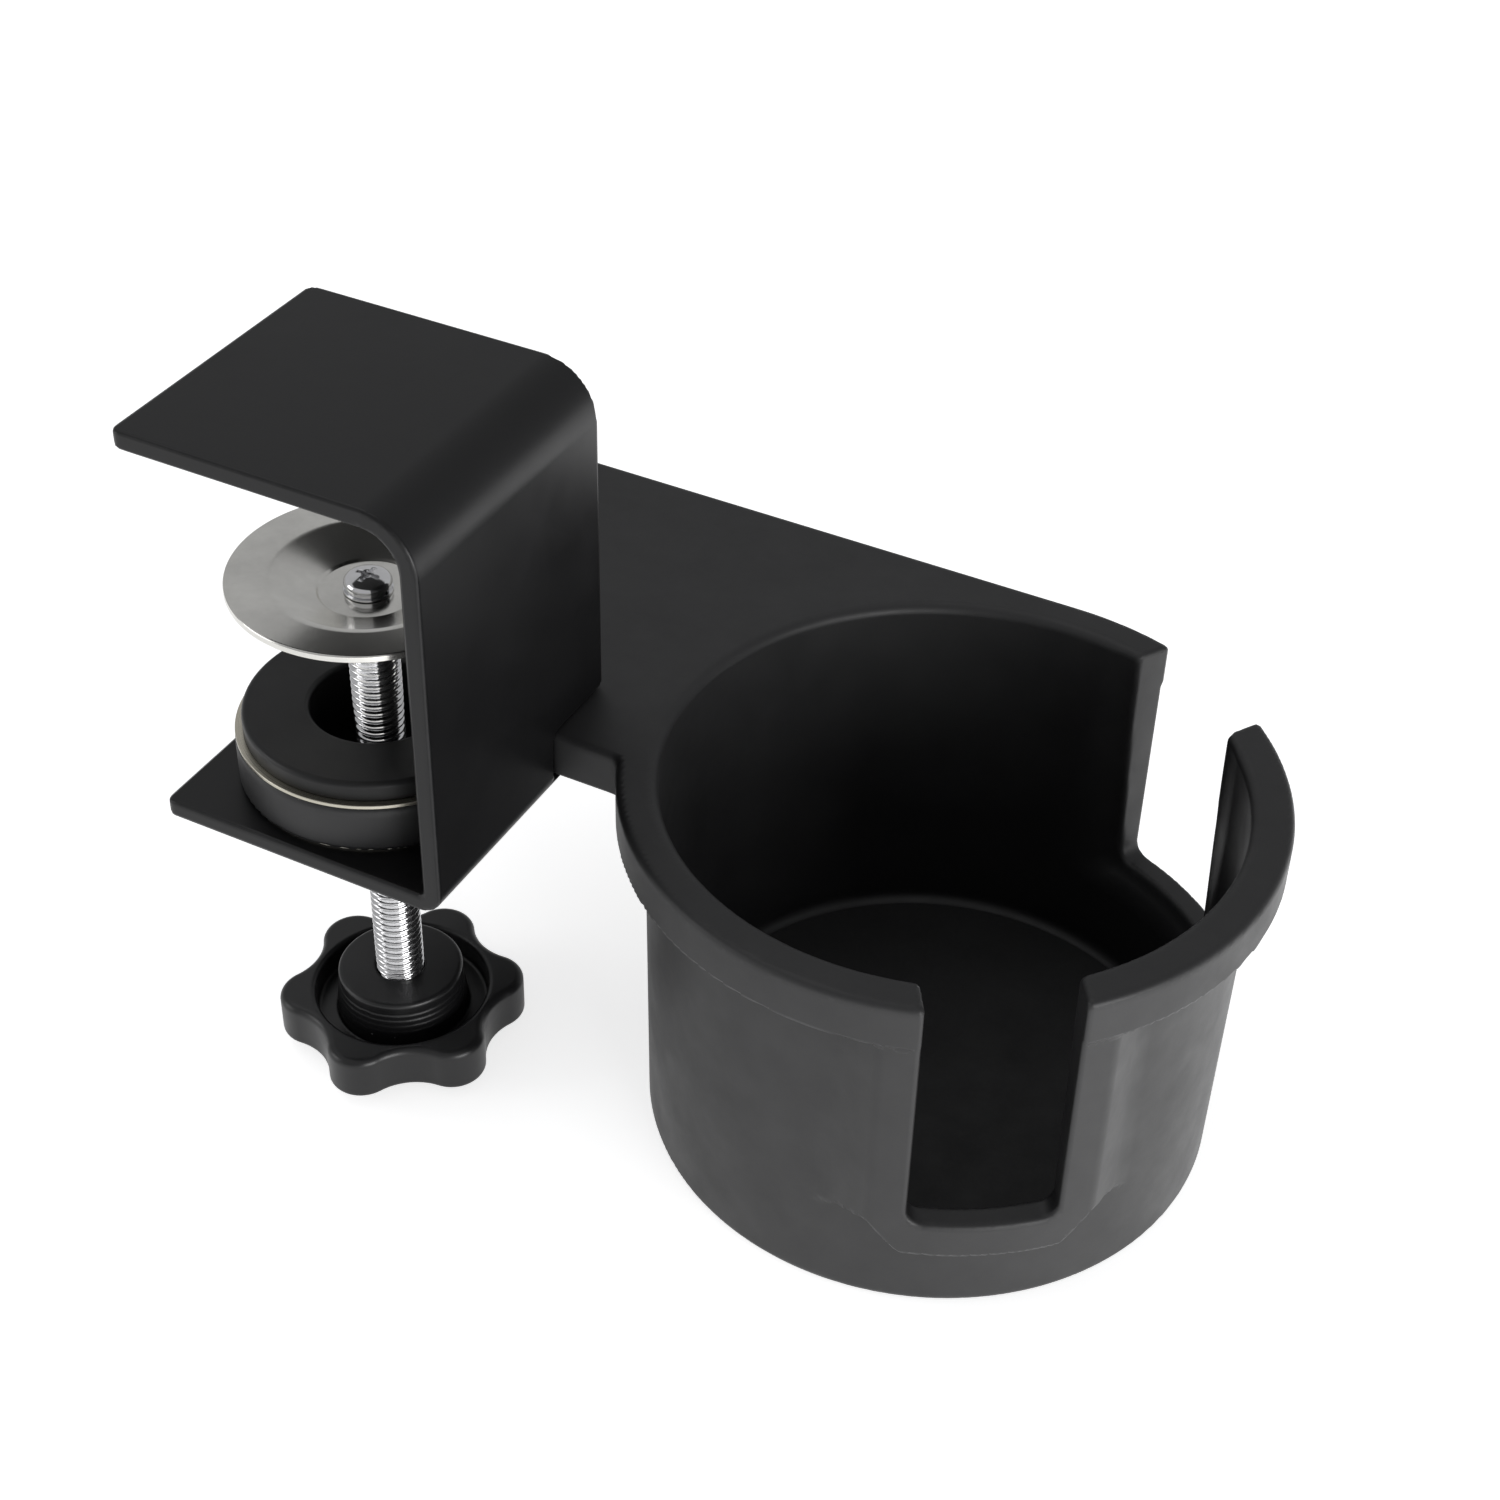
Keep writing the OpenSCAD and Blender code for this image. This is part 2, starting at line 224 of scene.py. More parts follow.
def unit(v):
    return v / np.maximum(np.linalg.norm(v, axis=1, keepdims=True), TINY)


def slope(shape, points, h=0.02):
    """Gradient of the shape's distance at each point."""
    g = np.empty_like(points)
    for axis in range(3):
        d = np.zeros(3)
        d[axis] = h
        g[:, axis] = shape(*(points + d).T) - shape(*(points - d).T)
    return g / (2 * h)


def settle(shape, points, reach):
    """Moves points along the slope onto the surface, by no more than reach."""
    g = slope(shape, points)
    steepness = np.maximum((g * g).sum(1), 0.2)
    move = (shape(*points.T) / steepness)[:, None] * g
    far = np.linalg.norm(move, axis=1, keepdims=True)
    return points - move * np.minimum(1, reach / np.maximum(far, TINY))


def even_out(shape, points, quads, reach):
    """Slides each point along the surface, halfway to the middle of its neighbours."""
    around = np.zeros_like(points)
    number = np.zeros(len(points))
    for a, b in ((0, 1), (1, 2), (2, 3), (3, 0)):
        for p, q in ((a, b), (b, a)):
            for c in range(3):
                around[:, c] += np.bincount(quads[:, p], points[quads[:, q], c], len(points))
            number += np.bincount(quads[:, p], minlength=len(points))
    normals = unit(slope(shape, points))
    drift = around / number[:, None] - points
    drift -= (drift * normals).sum(1, keepdims=True) * normals
    return settle(shape, points + 0.5 * drift, reach)


def net(shape, lo, hi, step):
    """Points on the exact surface of a shape in the box lo to hi, its quads and its normals."""
    before, after = 1.63, 2.2               # steps outside the box; odd, so no flat face lies on the grid
    axes = [np.arange(a - before * step, b + after * step, step) for a, b in zip(lo, hi)]
    x, y, z = np.meshgrid(*axes, indexing="ij", sparse=True)
    f = np.broadcast_to(shape(x, y, z), tuple(len(a) for a in axes))
    inside = f < 0
    active = crossed_cells(inside)
    cells = np.argwhere(active)
    index = np.full(active.shape, -1, np.int64)
    index[active] = np.arange(len(cells))
    quads = edge_quads(inside, index)
    points = cell_points(f, cells) * step + np.array([a[0] for a in axes])
    reach = 0.5 * step
    points = settle(shape, settle(shape, points, reach), reach)
    for _ in range(3):
        points = even_out(shape, points, quads, reach)
    points = settle(shape, points, reach)
    return points, quads, unit(slope(shape, points))


# ---------------------------------------------------------------- meshes

def mesh_object(name, points, faces, normals=None):
    """A mesh object from points in mm, with its own vertex normals when they are known."""
    mesh = bpy.data.meshes.new(name)
    if isinstance(faces, np.ndarray):
        mesh.vertices.add(len(points))
        mesh.vertices.foreach_set("co", (np.asarray(points) * MM).astype(np.float32).ravel())
        mesh.loops.add(faces.size)
        mesh.loops.foreach_set("vertex_index", faces.astype(np.int32).ravel())
        mesh.polygons.add(len(faces))
        starts = np.arange(0, faces.size, faces.shape[1], dtype=np.int32)
        mesh.polygons.foreach_set("loop_start", starts)
        mesh.update(calc_edges=True)
    else:
        mesh.from_pydata([tuple(p) for p in np.asarray(points) * MM], [], faces)
    mesh.validate()
    mesh.shade_smooth()
    if normals is not None:
        mesh.normals_split_custom_set_from_vertices([tuple(n) for n in normals])
    o = bpy.data.objects.new(name, mesh)
    bpy.context.scene.collection.objects.link(o)
    return o


def netted(name, shape, node, step):
    """A shape's mesh over the box of the CAD node that it stands for."""
    return mesh_object(name, *net(shape, low(node), high(node), step))


def rounded(outline, steps=6):
    """Points and outward normals of a counter-clockwise outline of (r, z, fillet radius) corners."""
    points, normals = [], []
    n = len(outline)
    for i in range(n):
        before, corner, after = (np.array(outline[(i + k) % n][:2], float) for k in (-1, 0, 1))
        radius = outline[i][2]
        d1 = (corner - before) / np.linalg.norm(corner - before)
        d2 = (after - corner) / np.linalg.norm(after - corner)
        turn = math.atan2(d1[0] * d2[1] - d1[1] * d2[0], d1 @ d2)
        side = math.copysign(1, turn)
        back = radius * math.tan(abs(turn) / 2)
        centre = corner - d1 * back + side * radius * np.array([-d1[1], d1[0]])
        for k in range(steps + 1):
            c, s = math.cos(turn * k / steps), math.sin(turn * k / steps)
            out = np.array([d1[1] * c + d1[0] * s, d1[1] * s - d1[0] * c])
            points.append(centre + side * radius * out)
            normals.append(out)
    return np.array(points), np.array(normals)


def lathe(name, outline, centre=(0, 0), segments=128, steps=6):
    """Ring or disc turned round a vertical axis from a closed outline; r = 0 makes a pole."""
    pts, nrm = rounded(outline, steps)
    keep = [np.linalg.norm(pts[i] - pts[i - 1]) >= 1e-6 for i in range(len(pts))]
    pts, nrm = pts[keep], nrm[keep]
    turn = np.linspace(0, 2 * math.pi, segments, endpoint=False)
    c, s = np.cos(turn), np.sin(turn)
    xyz = np.stack([centre[0] + np.outer(pts[:, 0], c), centre[1] + np.outer(pts[:, 0], s),
                    np.repeat(pts[:, 1:], segments, 1)], -1).reshape(-1, 3)
    normals = np.stack([np.outer(nrm[:, 0], c), np.outer(nrm[:, 0], s),
                        np.repeat(nrm[:, 1:], segments, 1)], -1).reshape(-1, 3)
    j = np.arange(len(pts))[:, None]
    i = np.arange(segments)[None, :]
    here, above = j * segments, (j + 1) % len(pts) * segments
    after = (i + 1) % segments
    faces = np.stack([here + i, here + after, above + after, above + i], -1).reshape(-1, 4)
    return mesh_object(name, xyz, faces, normals)


def flat_ring(name, node, bore, bore_edge, rim_edge, segments=128):
    """A washer with the node's height and outer radius."""
    z0, z1, r = low(node)[2], high(node)[2], high(node)[0]
    outline = [(bore, z0, bore_edge), (r, z0, rim_edge), (r, z1, rim_edge), (bore, z1, bore_edge)]
    return lathe(name, outline, segments=segments)


def stacked_rings(name, rows, segments):
    """Surface through rings: each row is (radius or one radius per segment, z); both ends are closed."""
    turn = np.linspace(0, 2 * math.pi, segments, endpoint=False)
    rings = [np.stack([r * np.cos(turn), r * np.sin(turn), np.full(segments, z)], 1) for r, z in rows]
    points = np.concatenate(rings + [[[0, 0, rows[0][1]]], [[0, 0, rows[-1][1]]]])
    last = (len(rows) - 1) * segments
    first_pole, last_pole = last + segments, last + segments + 1
    faces = []
    for here in range(0, last, segments):
        above = here + segments
        for i in range(segments):
            j = (i + 1) % segments
            faces.append((here + i, here + j, above + j, above + i))
    for i in range(segments):
        j = (i + 1) % segments
        faces.append((j, i, first_pole))
        faces.append((last + i, last + j, last_pole))
    return mesh_object(name, points, faces)


def dress(o, material, slot, body, *nodes):
    """Gives a piece its material and its body, and hides the CAD nodes that it stands for; the slot
    argument is not used.
    """
    o.data.materials.clear()
    o.data.materials.append(material)
    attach(o, body)
    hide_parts(*nodes)
    return o


# ---------------------------------------------------------------- material tools

class Shader:
    """A new material: its node tree, its Principled BSDF and helpers that add nodes."""

    def __init__(self, name):
        self.material = bpy.data.materials.new(name)
        self.material.use_nodes = True
        self.tree = self.material.node_tree
        self.tree.nodes.clear()
        out = self.tree.nodes.new("ShaderNodeOutputMaterial")
        self.bsdf = self.tree.nodes.new("ShaderNodeBsdfPrincipled")
        self.tree.links.new(self.bsdf.outputs[0], out.inputs["Surface"])
        self.coords = self.tree.nodes.new("ShaderNodeTexCoord").outputs["Object"]

    def feed(self, node, inputs):
        """Links or sets a node's inputs, each given by its name or its number."""
        for key, value in inputs.items():
            if isinstance(value, bpy.types.NodeSocket):
                self.tree.links.new(value, node.inputs[key])
            else:
                node.inputs[key].default_value = value

    def node(self, kind, inputs, out=0, **settings):
        """Adds a node and gives one of its outputs."""
        node = self.tree.nodes.new(kind)
        for key, value in settings.items():
            setattr(node, key, value)
        self.feed(node, inputs)
        return node.outputs[out]

    def surface(self, inputs):
        """Sets the look, and gives the finished material."""
        self.feed(self.bsdf, inputs)
        return self.material

    def noise(self, size_mm, detail=3.0, rough=0.5):
        return self.node("ShaderNodeTexNoise", {"Vector": self.coords, "Scale": 1 / MM / size_mm,
                                                "Detail": detail, "Roughness": rough})

    def span(self, value, a, b, c, d):
        """value mapped from a..b to c..d, clamped."""
        return self.node("ShaderNodeMapRange", {0: value, 1: a, 2: b, 3: c, 4: d})

    def mixed(self, factor, first, second, blend="MIX"):
        return self.node("ShaderNodeMix", {0: factor, 6: first, 7: second}, out=2,
                         data_type="RGBA", blend_type=blend)

    def relief(self, height, micrometres):
        return self.node("ShaderNodeBump", {"Strength": 1.0, "Distance": micrometres * 1e-6,
                                            "Height": height})


def rgba(colour, gain=1.0):
    return (*(min(1, c * gain) for c in colour), 1.0)


def painted_edge_highlight(s, tone, highlight_strength, colour):
    """Painted highlight: paler tone in patches along the sharp edges, where light would catch them."""
    edge = s.node("ShaderNodeNewGeometry", {}, out="Pointiness")
    patchy = s.span(s.noise(3.0, 5.0, 0.6), 0.42, 0.62, 0.0, 1.0)
    edge = s.span(edge, 0.53, 0.62, 0.0, highlight_strength)
    highlight_mask = s.node("ShaderNodeMath", {0: edge, 1: patchy}, operation="MULTIPLY")
    return s.mixed(highlight_mask, tone, rgba(colour))


def coating(name, colour, rough, rough_spread=0.08, grain_mm=0.25, grain_um=6.0, blotch=0.15,
            specular=0.5, highlight_strength=0.0, highlight_colour=(0.2, 0.2, 0.2)):
    """Paint, plastic or rubber: blotches of tone, uneven roughness, fine grain and a painted highlight of
    paler tone along the sharp edges.
    """
    s = Shader(name)
    blotch_mm, dull_mm, speckle = 14.0, 8.4, 0.12
    fine = s.noise(grain_mm, 2.0, 0.6)
    patches = s.span(s.noise(blotch_mm, 4.0, 0.55), 0.35, 0.65, 0, 1)
    tone = s.mixed(patches, rgba(colour, 1 - blotch), rgba(colour, 1 + blotch))
    tone = s.mixed(1.0, tone, s.span(fine, 0.3, 0.7, 1 - speckle, 1 + speckle), "MULTIPLY")
    # painted highlight: paler patches along the sharp edges
    if highlight_strength:
        tone = painted_edge_highlight(s, tone, highlight_strength, highlight_colour)
    dull = s.span(s.noise(dull_mm, 5.0, 0.6), 0.3, 0.7, rough - rough_spread, rough + rough_spread)
    return s.surface({"Base Color": tone, "Roughness": dull, "Normal": s.relief(fine, grain_um),
                      "Specular IOR Level": specular})


def turned_lines(s, rings_mm):
    """Noise along the radius only, as the tool leaves it on a turned face."""
    flat = s.node("ShaderNodeVectorMath", {0: s.coords, 1: (1, 1, 0)}, operation="MULTIPLY")
    radius = s.node("ShaderNodeVectorMath", {0: flat}, out="Value", operation="LENGTH")
    return s.node("ShaderNodeTexNoise", {"W": radius, "Scale": 1 / MM / rings_mm, "Detail": 3.0,
                                         "Roughness": 0.6}, noise_dimensions="1D")


def bare_metal(name, colour, rough, scratch=0.12, rings_mm=0.0, relief_um=1.2):
    """Fine scratches, or lathe rings round the Z axis when rings_mm is set, over soft blotches."""
    s = Shader(name)
    patches = s.span(s.noise(6.0, 4.0, 0.6), 0.3, 0.7, 0, 1)
    tone = s.mixed(patches, rgba(colour, 0.86), rgba(colour))
    lines = turned_lines(s, rings_mm) if rings_mm else s.noise(0.18, 3.0, 0.7)
    dull = s.span(lines, 0.3, 0.7, rough - scratch * 0.5, rough + scratch)
    return s.surface({"Base Color": tone, "Roughness": dull, "Normal": s.relief(lines, relief_um),
                      "Metallic": 1.0})


# ---------------------------------------------------------------- materials, each made once

@cache
def powder_coat():
    # the paler edges here are a painted highlight
    return coating("powder_coat", (0.0030, 0.0030, 0.0034), 0.35, rough_spread=0.03, grain_mm=0.45,
                   grain_um=5.0, blotch=0.10, specular=0.34, highlight_strength=0.35, highlight_colour=(0.04, 0.04, 0.042))


@cache
def nut_coat():
    # the paler edges here are a painted highlight
    return coating("nut_coat", (0.009, 0.009, 0.0095), 0.42, grain_mm=0.4, grain_um=8.0, highlight_strength=0.4,
                   highlight_colour=(0.05, 0.05, 0.05))


@cache
def cup_plastic():
    # the paler edges here are a painted highlight
    return coating("cup_plastic", (0.0070, 0.0070, 0.0076), 0.52, rough_spread=0.05, grain_mm=0.35,
                   grain_um=9.0, blotch=0.10, specular=0.56, highlight_strength=0.25, highlight_colour=(0.04, 0.04, 0.042))


@cache
def collar_plastic():
    return coating("collar_plastic", (0.0050, 0.0050, 0.0053), 0.42, grain_mm=0.3, grain_um=5.0,
                   blotch=0.12, specular=0.36)


@cache
def knob_plastic():
    # the paler edges here are a painted highlight
    return coating("knob_plastic", (0.0075, 0.0075, 0.008), 0.36, grain_mm=0.3, grain_um=4.0,
                   blotch=0.12, highlight_strength=0.3, highlight_colour=(0.04, 0.04, 0.04))


@cache
def mat_foam():
    return coating("mat_foam", (0.011, 0.011, 0.0115), 0.75, grain_mm=0.5, grain_um=30.0, blotch=0.18)


@cache
def pad_rubber():
    return coating("pad_rubber", (0.014, 0.014, 0.014), 0.8, grain_mm=0.6, grain_um=40.0, blotch=0.2)


@cache
def nylon():
    return coating("nylon", (0.55, 0.53, 0.47), 0.45, grain_mm=0.3, grain_um=3.0, blotch=0.06)


@cache
def bright_zinc():
    return bare_metal("bright_zinc", (0.86, 0.86, 0.87), 0.10, scratch=0.06, relief_um=0.6)


@cache
def yellow_zinc():
    return bare_metal("yellow_zinc", (0.62, 0.59, 0.50), 0.28, rings_mm=0.2)


@cache
def satin_nickel():
    return bare_metal("satin_nickel", (0.84, 0.83, 0.79), 0.17, scratch=0.04, relief_um=0.12)


@cache
def brass():
    return bare_metal("brass", (0.72, 0.52, 0.22), 0.3)


@cache
def floor_white():
    """Matt white that glows like a light table, more to the right, where the camera doesn't look at it."""
    s = Shader("floor_white")
    white, seen_glow, left_glow, right_glow = (0.9, 0.9, 0.9), 0.76, 0.48, 1.25
    left, right = 0.02, 0.16                # metres along X
    tone = s.mixed(s.noise(40.0, 2.0), rgba(white, 0.99), rgba(white))
    seen = s.node("ShaderNodeLightPath", {}, out="Is Camera Ray")
    x = s.node("ShaderNodeSeparateXYZ", {0: s.coords})
    glow = s.node("ShaderNodeMix", {0: seen, 2: s.span(x, left, right, left_glow, right_glow),
                                    3: seen_glow}, data_type="FLOAT")
    return s.surface({"Base Color": tone, "Emission Color": tone, "Emission Strength": glow,
                      "Roughness": 0.9, "Specular IOR Level": 0.2})


# ---------------------------------------------------------------- bracket, pad and nut

def bracket_notch(x, y, z):
    """Room for the arm in the web, from the lower leg up to just over the arm."""
    gap = 0.5
    d = inter(ARM_FRONT - gap - y, z - ARM_Z - gap, 2.0)
    return inter(d, np.maximum(LEG_Z + STRIP - z, WEB_X - LOW_BEND - x))


def bracket_shape(x, y, z):
    """Strip bent to a C of two legs and a web, notched for the arm and bored for the rod."""
    reach = 150.0                           # the bent loop runs on beyond the legs' ends, which cut it
    mid, half = (TOP_Z + LEG_Z) / 2, (TOP_Z - LEG_Z) / 2
    bend = np.where(z > mid, TOP_BEND, LOW_BEND)
    qx = np.abs(x - WEB_X + reach) - reach + bend
    qz = np.abs(z - mid) - half + bend
    outer = np.minimum(np.maximum(qx, qz), 0) + np.hypot(np.maximum(qx, 0), np.maximum(qz, 0)) - bend
    strip = np.abs(outer + STRIP / 2) - STRIP / 2
    plan = inter(LEG_X - x, np.abs(y) - HALF_W, LEG_CORNER)
    d = inter(strip, plan, 0.5)
    d = cut(d, bracket_notch(x, y, z), 0.35)
    hole = inter(np.hypot(x, y) - ROD_R - 0.5, z - LEG_Z - 2 * STRIP)
    return cut(d, hole, 0.3)


def build_bracket():
    o = netted("clamp_bracket_skin", bracket_shape, "clamp_bracket", 0.7)
    dress(o, powder_coat(), "bracket_coat", "bracket", "clamp_bracket")


def build_pad():
    lo, hi = low("jaw_pad"), high("jaw_pad")
    mid, half = (lo + hi) / 2, (hi - lo) / 2

    def pad_shape(x, y, z):
        plan = inter(np.abs(x - mid[0]) - half[0], np.abs(y - mid[1]) - half[1], 3.0)
        return inter(plan, slab(z, lo[2], hi[2]), 0.35)

    dress(netted("jaw_pad_foam", pad_shape, "jaw_pad", 0.5), pad_rubber(), "pad_rubber", "bracket",
          "jaw_pad")


def nut_shape(z0, across_flats, bore):
    """Hexagon nut on z = z0, chamfered at 30 degrees on both faces."""
    lean = math.radians(30)

    def shape(x, y, z):
        r = np.hypot(x, y)
        d = inter(hexagon(x, y, across_flats), slab(z, z0, z0 + NUT_H), 0.12)
        chamfer = ((r - across_flats / 2 - 0.25) * math.sin(lean)
                   + (np.abs(z - z0 - NUT_H / 2) - NUT_H / 2) * math.cos(lean))
        return cut(inter(d, chamfer, 0.1), r - bore, 0.35)
    return shape


def build_weld_nut():
    shape = nut_shape(low("weld_nut")[2], NUT_AF, ROD_R + 0.05)
    dress(netted("weld_nut_hex", shape, "weld_nut", 0.35), nut_coat(), "bracket_coat", "bracket",
          "weld_nut")


# ---------------------------------------------------------------- collar, its washers and screws

def build_collar():
    z0, z1, z2 = low("pivot_collar")[2], high("collar_washer")[2], high("pivot_collar")[2]
    outline = [(COLLAR_BORE, z0, 0.3), (SLEEVE_R, z0, 0.3), (SLEEVE_R, z1, 0.2), (COLLAR_R, z1, 0.25),
               (COLLAR_R, z2, 0.9), (COLLAR_BORE, z2, 0.8)]
    dress(lathe("pivot_collar_ring", outline), collar_plastic(), "collar_plastic", "bracket",
          "pivot_collar")


def build_collar_washer():
    o = flat_ring("collar_washer_ring", "collar_washer", RING_BORE, 0.1, 0.1)
    dress(o, yellow_zinc(), "yellow_zinc", "bracket", "collar_washer")


def build_slip_washer():
    o = flat_ring("slip_washer_ring", "slip_washer", RING_BORE, 0.1, 0.1)
    dress(o, nylon(), "nylon", "bracket", "slip_washer")


def cross_recess(x, y, z, top, reach, depth):
    """Tapered cross recess that opens upward at z = top."""
    down = top - z
    tip = reach - 0.55 * down
    blade = 0.36 - 0.06 * down
    x, y = np.abs(x), np.abs(y)
    arms = np.minimum(inter(x - tip, y - blade, 0.05), inter(y - tip, x - blade, 0.05))
    well = np.hypot(x, y) - (1.0 - 0.45 * down)
    return inter(join(arms, well, 0.1), down - depth, 0.1)


def pan_screw_shape(base, radius, height, shank_r, shank_l, reach, depth):
    """Pan-head screw with its head above z = base and its shank below."""
    dome_r = 9.0

    def shape(x, y, z):
        r = np.hypot(x, y)
        dome = np.sqrt(r * r + (z - base - height + dome_r) ** 2) - dome_r
        head = inter(inter(r - radius, dome, 0.7), base - z, 0.12)
        head = cut(head, cross_recess(x, y, z, base + height, reach, depth), 0.08)
        shank = inter(r - shank_r, slab(z, base - shank_l, base + 0.5), 0.25)
        return join(head, shank)
    return shape


def build_collar_screws():
    """Three screws that come up through the lower leg, drawn head up and turned over."""
    radius, height, shank_r, shank_l = 2.75, 1.9, 1.45, 8.9
    shape = pan_screw_shape(-LEG_Z, radius, height, shank_r, shank_l, reach=1.5, depth=1.0)
    lo = (-radius - 0.05, -radius - 0.05, -LEG_Z - shank_l - 0.1)
    hi = (radius + 0.05, radius + 0.05, -low("collar_screws")[2])
    points, faces, normals = net(shape, lo, hi, 0.2)
    over = np.array([1, -1, -1])
    ring = (COLLAR_BORE + SLEEVE_R) / 2
    places = [math.radians(60 + 120 * k) for k in range(3)]
    o = mesh_object(
        "collar_screw_set",
        np.concatenate([points * over + (ring * math.cos(a), ring * math.sin(a), 0) for a in places]),
        np.concatenate([faces + k * len(points) for k in range(3)]),
        np.concatenate([normals * over] * 3))
    dress(o, bright_zinc(), "zinc_steel", "bracket", "collar_screws")


# ---------------------------------------------------------------- arm and cup

def from_cup(x, y):
    """Distance from the cup's axis."""
    return np.hypot(x - CUP[0], y - CUP[1])


def arm_plan(x, y, inset=0.0):
    """Plan of the arm and hub without the rim."""
    left, back = -HUB_R + inset - x, y - ARM_BACK + inset
    plate = inter(left, back, ARM_CORNER - inset)
    plate = inter(plate, ARM_FRONT + inset - y)
    plate = inter(plate, x - CUP[0])
    return join(plate, np.hypot(x, y) - HUB_R + inset, 0.8)


def arm_hollows(x, y):
    """Plan of the hollows under the arm's skin, between crossing ribs."""
    wall, rib, pitch = 2.2, 2.0, 19.0
    d = arm_plan(x, y, wall)
    d = inter(d, HUB_R - np.hypot(x, y), 1.0)
    d = inter(d, RIM_R - wall - from_cup(x, y), 1.0)
    for across in ((y - x) / math.sqrt(2), (x + y) / math.sqrt(2)):
        line = pitch / 2 - np.abs(np.mod(across, pitch) - pitch / 2)
        d = inter(d, rib / 2 - line, 1.0)
    return d


def arm_plate(x, y, z):
    """Flat arm, hub and rim, with a fillet in plan where the arm's front meets the rim."""
    arm, rim = arm_plan(x, y), from_cup(x, y) - RIM_R
    plan = np.where(y < CUP[1], join(arm, rim, 0.9), join(arm, rim))
    return inter(inter(plan, z - ARM_Z, 1.1), HUB_Z - z, 0.4)


def slot_axes(x, y, side):
    """Along a slot's direction from the cup's axis, and across it either way."""
    a = math.radians(side * SLOT_DIR)
    x, y = x - CUP[0], y - CUP[1]
    return x * math.cos(a) + y * math.sin(a), np.abs(-x * math.sin(a) + y * math.cos(a))


def slot_frame(x, y, z, side):
    """Raised frame round a slot: flat cheeks, sloping wings and cut lower corners."""
    along, across = slot_axes(x, y, side)
    shoulder = math.sqrt(FRAME_R ** 2 - FRAME_FLAT ** 2)
    foot = math.sqrt(BODY_R ** 2 - FRAME_WING ** 2)
    wing = through(along, across, (shoulder, FRAME_FLAT), (foot, FRAME_WING))
    elbow = (FRAME_FLAT, FRAME_FOOT_Z + FRAME_RISE)
    corner = through(across, z, (FRAME_FOOT, FRAME_FOOT_Z), elbow)
    under = through(across, z, elbow, (FRAME_WING + 1, elbow[1] - WING_DROP))
    d = inter(from_cup(x, y) - FRAME_R, wing, 0.45)
    foot_line = inter(FRAME_FOOT_Z - z, np.minimum(corner, under), 0.8)
    d = inter(d, foot_line, 0.45)
    return inter(d, np.maximum(z - ARM_Z + BURIED, SLOT_START - along))


def slot_recess(x, y, z, side):
    """Recess behind a slot's frame that keeps its wall thin, with ramps at its sides and its foot."""
    along, across = slot_axes(x, y, side)
    past = from_cup(x, y) - RECESS_R
    lift = (z - SLOT_Z) / (ARM_Z - SLOT_Z)
    back = past + RECESS_LEAN * np.maximum(lift, 0)
    side_ramp = 0.56 * (across - RECESS_HALF) + 0.83 * past
    foot_ramp = 0.6 * (SLOT_Z - 0.5 - z) + 0.8 * past
    d = inter(inter(back, side_ramp, 1.5), foot_ramp, 1.5)
    return inter(d, RECESS_START - along)


def slot_opening(x, y, z, side):
    """Handle slot, open at the top."""
    along, across = slot_axes(x, y, side)
    d = inter(across - SLOT_W / 2, SLOT_Z - z, 2.5)
    return inter(d, SLOT_START - along)


def cup_wall(x, y, z):
    """Outside of the cup, slightly wider at the top."""
    lift = (z - CUP_LOW) / (HUB_Z - CUP_LOW)
    d = inter(from_cup(x, y) - (BASE_R + (BODY_R - BASE_R) * lift), CUP_LOW - z, 1.6)
    return inter(d, z - ARM_Z + BURIED)


def cup_cavity(x, y, z):
    """Inside of the cup, with the recesses behind the slots' frames."""
    lift = (z - FLOOR_Z) / (ARM_Z - FLOOR_Z)
    d = inter(from_cup(x, y) - (FLOOR_R + (CAVITY_R - FLOOR_R) * lift), FLOOR_Z - z, 2.0)
    for side in (-1, 1):
        d = join(d, slot_recess(x, y, z, side), 1.5)
    return d


def cup_shape(x, y, z):
    """Cup, rim, slot frames, arm and hub in one moulding."""
    wall = cup_wall(x, y, z)
    d = join(wall, arm_plate(x, y, z), 0.9)
    for side in (-1, 1):
        wall = join(wall, slot_frame(x, y, z, side), 0.8)
    d = join(d, wall)
    d = cut(d, inter(arm_hollows(x, y), z - ARM_Z + SKIN, 0.8), 0.4)
    d = cut(d, cup_cavity(x, y, z), 1.6)
    for side in (-1, 1):
        d = cut(d, slot_opening(x, y, z, side), 0.8)
    return cut(d, np.hypot(x, y) - SLEEVE_R - SLEEVE_GAP, 0.4)


def build_cup():
    step = 0.8
    o = netted("cup_holder_moulding", cup_shape, "cup_holder", step)
    dress(o, cup_plastic(), "cup_plastic", "cup_arm", "cup_holder")


def build_mat():
    z0, z1 = low("cup_mat")[2], high("cup_mat")[2]
    r = high("cup_mat")[0] - CUP[0]
    pole = 0.001
    outline = [(pole, z0, 0), (r, z0, 0.25), (r, z1, 0.35), (pole, z1, 0)]
    dress(lathe("cup_mat_disc", outline, CUP), mat_foam(), "mat_foam", "cup_arm", "cup_mat")


# ---------------------------------------------------------------- disc, rod and its end screw

def build_disc():
    """Sheet pressed to a dish: a flat rim, a sloping wall and a flat floor with the screw's hole."""
    seat = DISC_SEAT + SHEET
    bore, foot, brow = 3.25, 7.4, 14.8
    outline = [(bore, DISC_SEAT, 0.1), (foot + 0.5, DISC_SEAT, 2.0), (brow + 0.6, DISC_Z - SHEET, 4.0),
               (DISC_R, DISC_Z - SHEET, 0.2), (DISC_R, DISC_Z, 0.35), (brow, DISC_Z, 4.0),
               (foot + 0.4, seat + 0.4, 0.25), (foot, seat, 0.2), (bore, seat, 0.1)]
    o = lathe("pressure_disc_pressing", outline, segments=160, steps=8)
    dress(o, satin_nickel(), "disc_nickel", "pressure_foot", "pressure_disc")


